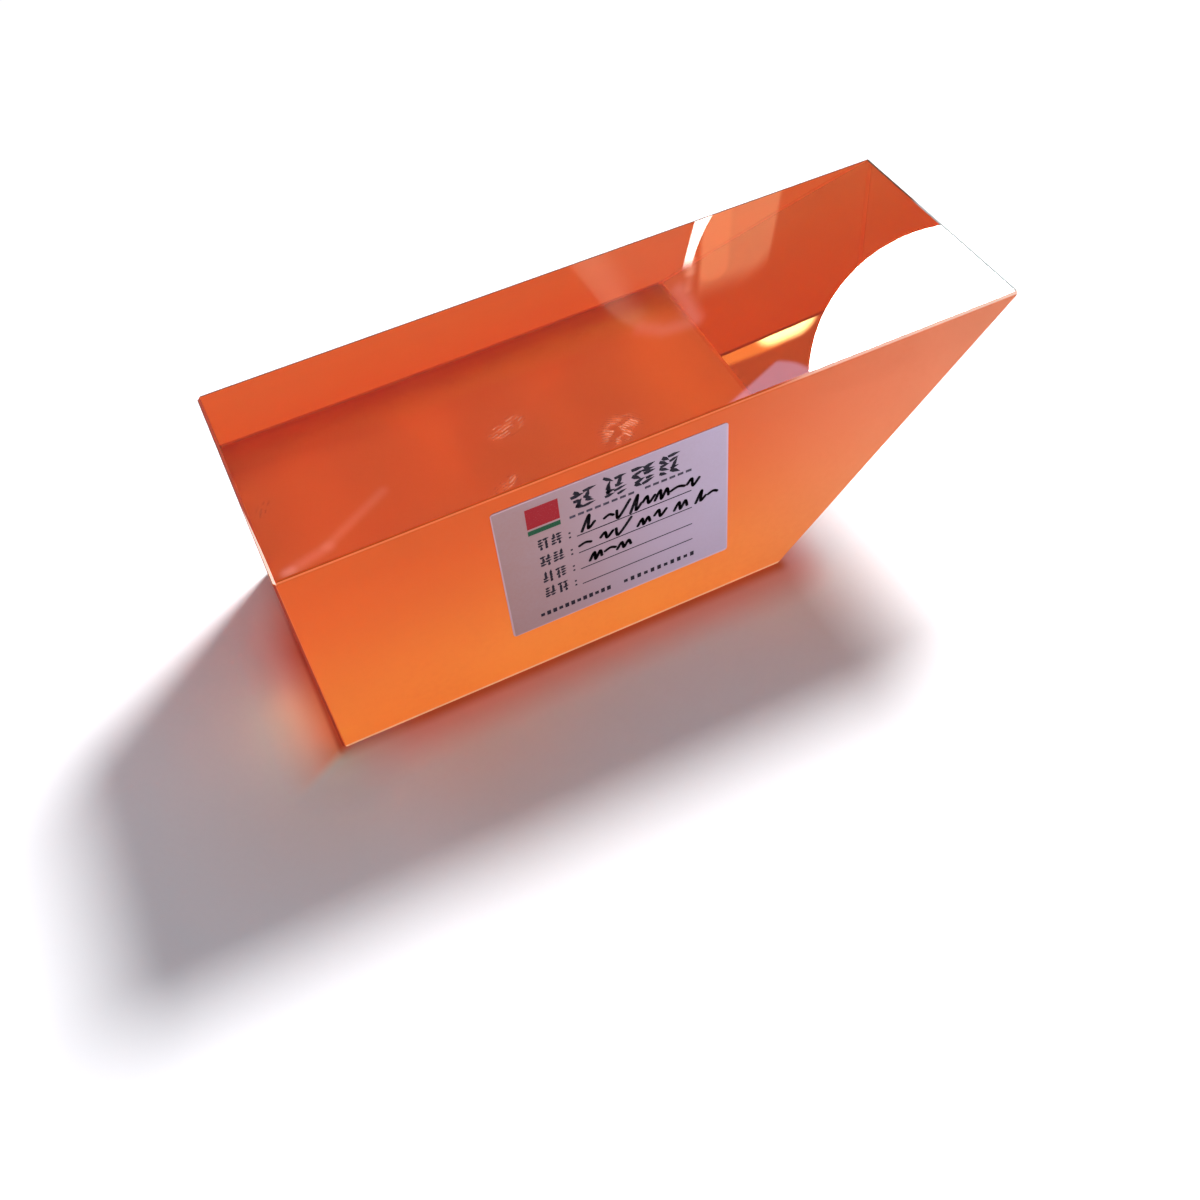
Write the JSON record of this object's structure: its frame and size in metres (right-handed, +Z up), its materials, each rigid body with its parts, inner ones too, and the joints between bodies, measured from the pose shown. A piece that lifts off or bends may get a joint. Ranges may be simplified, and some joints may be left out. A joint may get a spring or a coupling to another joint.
{
  "type": "right angle prism",
  "caption": "Long block of orange infrared crystal whose slanted 45 degree end face turns a beam through a right angle, with a paper label on its side.",
  "frame": {"origin": "in the plane of the bottom face, under the middle of the top face between its square end and its sharp edge", "axes": "+X along the prism from the square end to the slanted end, -Y to the side with the label, +Z up from the bottom face to the top face"},
  "size_m": [0.1243, 0.0441, 0.043],
  "materials": {
    "crystal": "orange zinc selenide crystal, polished on the top, square end and slanted end, fine ground on the bottom and both sides",
    "label_paper": "matt white label paper with plain black print and pen strokes"
  },
  "bodies": {
    "root": {"prism": "crystal", "label": "label_paper"}
  },
  "joints": []
}
